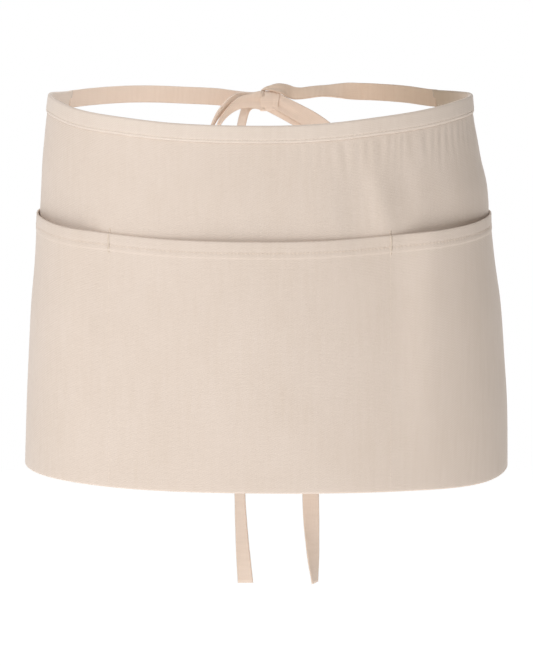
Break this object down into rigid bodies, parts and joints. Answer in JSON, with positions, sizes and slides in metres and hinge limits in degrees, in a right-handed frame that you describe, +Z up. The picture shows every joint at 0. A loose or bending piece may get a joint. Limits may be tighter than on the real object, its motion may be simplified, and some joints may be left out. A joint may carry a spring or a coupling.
{
  "type": "waist apron",
  "caption": "Short cotton waist apron with front pockets and a bound top edge, curved as worn and tied behind in a bow.",
  "frame": {"origin": "centre of the waist ring, at the height of the ring's two sides, where the wearer's waist sits", "axes": "+Z up, the apron's front faces -Y, +X to the right in a view from the front"},
  "size_m": [0.4063, 0.2745, 0.4354],
  "materials": {
    "cotton_twill": "undyed woven cotton twill, matt",
    "cotton_tape": "undyed folded and stitched cotton tape, matt"
  },
  "bodies": {
    "root": {"apron_panel": "cotton_twill", "pocket_panel": "cotton_twill", "waist_binding": "cotton_tape", "tie_left": "cotton_tape", "tie_right": "cotton_tape", "bow_knot": "cotton_tape", "bow_loop_left": "cotton_tape", "bow_loop_right": "cotton_tape", "tie_end_left": "cotton_tape", "tie_end_right": "cotton_tape"}
  },
  "joints": []
}
